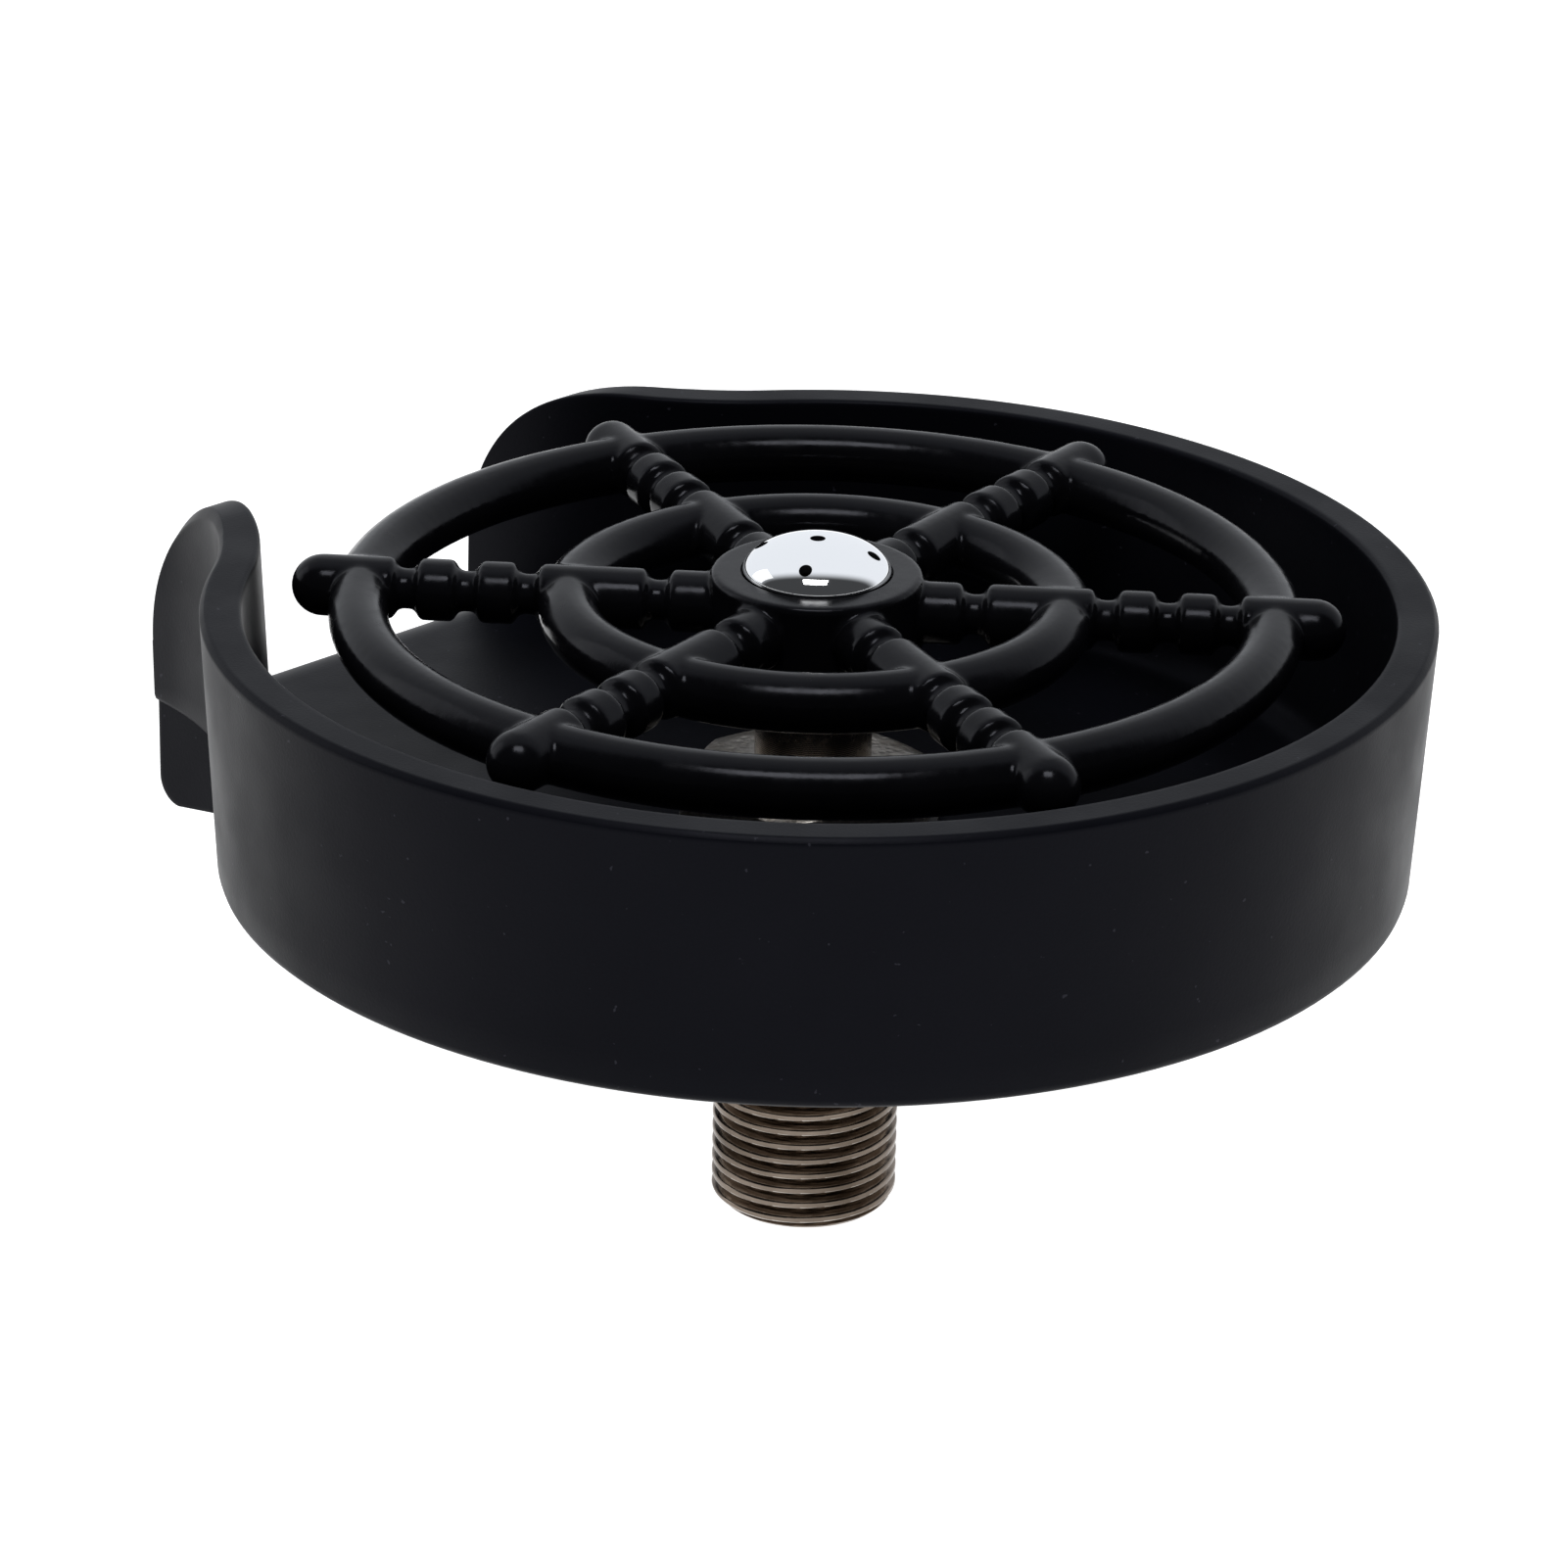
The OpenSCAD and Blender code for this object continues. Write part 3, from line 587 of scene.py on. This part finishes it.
# ---------------------------------------------------------------- chrome cap
def build_cap():
    """Thin pressed dome with an apex hole and four holes round it."""
    bm = bmesh.new()
    inside = CAP_R - CAP_SKIN
    skins = ((CAP_R, CAP_H), (inside, CAP_H - CAP_SKIN))
    holes = [(0.0, 0.0, APEX_HOLE_R)]
    for k in range(4):
        a = math.radians(HOLE_A + 90 * k)
        holes.append((HOLE_OUT * math.cos(a), HOLE_OUT * math.sin(a), HOLE_R))

    def height(x, y, skin):
        """Height of the outer (0) or inner (1) skin over a point."""
        span, rise = skins[skin]
        return CAP_BASE + rise * math.sqrt(max(0.0, 1 - (x * x + y * y) / (span * span)))

    def skin_rows(skin):
        """Rings of one skin from the apex down, with its skirt last."""
        span = skins[skin][0]
        outs = [span * math.sin(math.radians(90 * j / CAP_RINGS)) for j in range(CAP_RINGS + 1)]
        dome = [circle(d, height(d, 0, skin), CAP_STEPS) for d in outs]
        return dome + [circle(span, CAP_LOW, CAP_STEPS)]

    grid(bm, skin_rows(0) + skin_rows(1)[::-1], closed_cols=True)
    bmesh.ops.remove_doubles(bm, verts=bm.verts, dist=1e-6)
    # The inner skin gets the near-black finish, painted shade seen through the holes
    for f in bm.faces:
        m = f.calc_center_median() / MM
        outer = m.z > height(m.x, m.y, 0) - 0.3 or m.xy.length > inside + 0.02
        f.material_index = 0 if outer else 1

    def over_hole(f, hx, hy, hr):
        """Whether a face of the dome lies within a hole."""
        m = f.calc_center_median()
        return m.z > (CAP_LOW + 0.5) * MM and math.hypot(m.x / MM - hx, m.y / MM - hy) < hr

    def open_hole(hx, hy, hr, skin):
        """Cut a round hole in the outer (0) or inner (1) skin and return its rim."""
        disc = [f for f in bm.faces if f.material_index == skin and over_hole(f, hx, hy, hr)]
        edges = {e for f in disc for e in f.edges}
        rim = [e for e in edges if sum(g in disc for g in e.link_faces) == 1]
        bmesh.ops.delete(bm, geom=disc, context="FACES")
        for v in {v for e in rim for v in e.verts}:
            d = Vector((v.co.x / MM - hx, v.co.y / MM - hy)).normalized() * hr
            v.co = vec(hx + d.x, hy + d.y, height(hx + d.x, hy + d.y, skin))
        return rim

    for hx, hy, hr in holes:
        rims = open_hole(hx, hy, hr, 0) + open_hole(hx, hy, hr, 1)
        # The hole walls get the near-black finish, painted shade in the holes
        for f in bmesh.ops.bridge_loops(bm, edges=rims)["faces"]:
            f.material_index = 1
    dome = finish_mesh(bm, "spray_cap_dome", "spray_head", ["spray_cap"], [CHROME, HOLE], 0.0000005)
    sharp_edges(dome, 40)


build_cap()


# ---------------------------------------------------------------- valve body
def thread_radius(z, a):
    """Distance out of the thread's surface: eased crests and straight flanks, the lead-in at the
    shank's end, and the undercut below the nut."""
    crest_half, crest_flat, crest_ease, lead_in, ramp = 0.42, 0.25, 0.12, 1.3, 0.35
    depth = 0.64 * PITCH
    phase = abs(((z / PITCH - a / (2 * math.pi)) % 1.0) * 2 - 1)
    if phase < crest_half:
        r = THREAD_R - crest_ease * max(0.0, (phase - crest_flat) / (crest_half - crest_flat)) ** 2
    else:
        r = THREAD_R - crest_ease - depth * (phase - crest_half) / (1 - crest_half)
    r = min(r, THREAD_R - max(0.0, (SHANK_END + lead_in) - z))
    if UNDERCUT_LOW < z < UNDERCUT_TOP:
        edge = min((z - UNDERCUT_LOW) / ramp, (UNDERCUT_TOP - z) / ramp, 1.0)
        r = min(r, THREAD_R - UNDERCUT * edge)
    return r


def build_valve_body():
    bm = bmesh.new()
    # Cast hexagonal collar, its top turned to a shallow cone
    flats, corner, cone_r, cone_in = HEX_FLATS / 2, 1.148, 16.0, 3.6
    cone = HEX_TOP - HEX_EDGE
    heights = [HEX_LOW + 0.15, HEX_LOW + 0.5, 7.0, 8.2] + [HEX_EDGE + cone * k / 10 for k in range(11)]
    rows = []
    for share, z in [(0.5, HEX_LOW), (0.97, HEX_LOW)] + [(1.0, z) for z in heights] + \
            [(0.9, HEX_TOP), (0.6, HEX_TOP)]:
        row = []
        for a in round_angles(HEX_STEPS):
            b = a % (math.pi / 3) - math.pi / 6
            coned = cone_r - max(0.0, z - HEX_EDGE) * cone_in / cone
            reach = min(flats / math.cos(b), flats * corner, coned) * share
            row.append(vec(reach * math.cos(a), reach * math.sin(a), z))
        rows.append(row)
    for z in (HEX_TOP, HEX_LOW):
        rows.append(circle(BORE_R, z, HEX_STEPS))
    grid(bm, rows, closed_rows=True, closed_cols=True)

    # Guide barrel
    barrel = [(BORE_R, BARREL_LOW), (BARREL_R, BARREL_LOW), (BARREL_R, BARREL_TOP), (BORE_R, BARREL_TOP)]
    lathe(bm, rounded(barrel, 0.35), HUB_STEPS, material=1)

    # Threaded shank, its bore stepped for the seat, the supply and the clip's groove
    z_low, z_high, collar_joint, end_cut = SHANK_END + 0.2, -1.0, HEX_LOW - 0.1, 1.55
    count = int((z_high - z_low) / PITCH * THREAD_ROWS)
    levels = [z_low + (z_high - z_low) * k / count for k in range(count + 1)]
    bore = [(BORE_R, collar_joint), (BORE_R, SEAT_TOP), (SUPPLY_R, SEAT_TOP), (SUPPLY_R, CLIP_TOP),
            (CLIP_R, CLIP_TOP), (CLIP_R, CLIP_LOW), (SUPPLY_R, CLIP_LOW), (SUPPLY_R, SHANK_END + 0.5),
            (SUPPLY_R + 0.5, SHANK_END)]
    rows = []
    for a in round_angles(THREAD_STEPS):
        outer = [(thread_radius(z, a), z) for z in levels]
        profile = [(THREAD_R - end_cut, SHANK_END)] + outer + [(THREAD_R - 0.2, collar_joint)] + bore
        rows.append([vec(r * math.cos(a), r * math.sin(a), z) for r, z in profile])
    grid(bm, rows, closed_rows=True, closed_cols=True, material=2)

    # One flank of every turn gets a lighter copy of the thread's metal: a painted highlight standing in
    # for the floor's reflection
    outside, lit_from, lit_to = 8.2, -0.50, -0.27
    for face in bm.faces:
        m = face.calc_center_median() / MM
        turn = ((m.z / PITCH - math.atan2(m.y, m.x) / (2 * math.pi)) % 1.0) * 2 - 1
        if face.material_index == 2 and m.xy.length > outside and lit_from < turn < lit_to:
            face.material_index = 3
    materials = [CAST, TURNED, THREAD_PAINTED_SHADE, THREAD_PAINTED_HIGHLIGHT]
    piece = finish_mesh(bm, "valve_body_turned", "root", ["valve_body"], materials, 0.000001)
    sharp_edges(piece, 55)


build_valve_body()


# ---------------------------------------------------------------- return spring
def build_spring():
    """Round wire coil with closed end turns; it rides on the press carriage."""
    bm = bmesh.new()
    low, high = SPRING_LOW + WIRE_R + 0.02, SPRING_TOP - WIRE_R - 0.02
    rise = 2 * WIRE_R + 0.05
    climb = (high - low - 2 * rise) / (TURNS - 2)
    rows = []
    for i in range(COIL_STEPS * TURNS + 1):
        t = i / COIL_STEPS
        if t < 1:
            climbed = rise * t
        elif t < TURNS - 1:
            climbed = rise + climb * (t - 1)
        else:
            climbed = rise + climb * (TURNS - 2) + rise * (t - TURNS + 1)
        a = 2 * math.pi * t
        wire = [(SPRING_R + WIRE_R * math.cos(b), low + climbed + WIRE_R * math.sin(b))
                for b in round_angles(WIRE_STEPS)]
        rows.append([vec(r * math.cos(a), r * math.sin(a), z) for r, z in wire])
    coil = grid(bm, rows, closed_cols=True)
    bm.faces.new(coil[0])
    bm.faces.new(coil[-1])
    spring = finish_mesh(bm, "return_spring_coil", "press_carriage", ["return_spring"], [STEEL],
                         0.000001)
    sharp_edges(spring, 50)
    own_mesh(spring)


build_spring()

# ---------------------------------------------------------------- finishes of the CAD pieces that stay
FINISH = {"nickel_brass": TURNED, "steel": STEEL, "rubber": RUBBER, "acetal": ACETAL,
          "matte_black_abs": BLACK, "gloss_black": GLOSS, "chrome": CHROME}
for entry in frame["record"]["subparts"]:
    cad = frame["nodes"][entry["node"]]
    cad.data.materials.clear()
    cad.data.materials.append(FINISH[entry["material_slot"]])
    for face in cad.data.polygons:
        face.use_smooth = True
    sharp_edges(cad, 35)

# ---------------------------------------------------------------- floor, light and camera
bm = bmesh.new()
bmesh.ops.create_grid(bm, x_segments=2, y_segments=2, size=FLOOR_HALF)
floor_mesh = bpy.data.meshes.new("studio_floor")
bm.to_mesh(floor_mesh)
bm.free()
floor = bpy.data.objects.new("studio_floor", floor_mesh)
floor.location.z = (SHANK_END - 0.1) * MM
bpy.context.scene.collection.objects.link(floor)
paper, _, paper_shader = plain_shader("studio_paper", (0.5, 0.5, 0.5), 0.9, 0.0, 0.1)
paper_shader.inputs["Emission Color"].default_value = (1, 1, 1, 1)
paper_shader.inputs["Emission Strength"].default_value = 1.0
floor_mesh.materials.append(paper)


def direction(azimuth, elevation):
    """Unit vector towards a place seen from the valve axis; azimuth 0 is -Y and 90 is +X."""
    a, e = math.radians(azimuth), math.radians(elevation)
    return Vector((math.sin(a) * math.cos(e), -math.cos(a) * math.cos(e), math.sin(e)))


# Bright studio behind the rinser, fading overhead into a dim room in front
world = bpy.data.worlds.new("studio")
bpy.context.scene.world = world
world.use_nodes = True
sky = world.node_tree
background = sky.nodes["Background"]
seen = node(sky, "ShaderNodeTexCoord").outputs["Generated"]
facing = node(sky, "ShaderNodeVectorMath", {0: seen, 1: direction(*BRIGHT_AT)}, operation="DOT_PRODUCT")
inputs = {"Value": facing.outputs["Value"], "From Min": -0.10, "From Max": 0.30,
          "To Min": 0.06, "To Max": 1.0}
level = node(sky, "ShaderNodeMapRange", inputs, interpolation_type="SMOOTHSTEP")
sky.links.new(level.outputs["Result"], background.inputs["Strength"])
background.inputs["Color"].default_value = (0.92, 0.95, 1.0, 1)


def area_light(name, azimuth, elevation, width, height, watts):
    """Soft box aimed at the rinser, seen from the given direction."""
    lamp = bpy.data.lights.new(name, "AREA")
    lamp.shape, lamp.size, lamp.size_y, lamp.energy = "RECTANGLE", width, height, watts
    obj = bpy.data.objects.new(name, lamp)
    obj.location = direction(azimuth, elevation) * LAMP_DISTANCE
    obj.rotation_euler = (Vector((0, 0, 0.02)) - obj.location).to_track_quat("-Z", "Y").to_euler()
    bpy.context.scene.collection.objects.link(obj)


area_light("front_window", 40, 66, 0.42, 0.26, 4)
area_light("fill_left", -60, 25, 0.4, 0.6, 0.6)

camera_data = bpy.data.cameras.new("camera")
camera_data.lens, camera_data.sensor_width = LENS, SENSOR
camera_data.clip_start, camera_data.clip_end = 0.01, 50
camera = bpy.data.objects.new("camera", camera_data)
camera.location = direction(AZIMUTH, ELEVATION) * DISTANCE
forward = -direction(AZIMUTH - TURN, PITCH_DOWN)
aim = forward.to_track_quat("-Z", "Y").to_matrix().to_4x4()
camera.rotation_euler = (aim @ Matrix.Rotation(math.radians(ROLL), 4, "Z")).to_euler()
bpy.context.scene.collection.objects.link(camera)
bpy.context.scene.camera = camera
bpy.context.scene.view_settings.view_transform = "Standard"
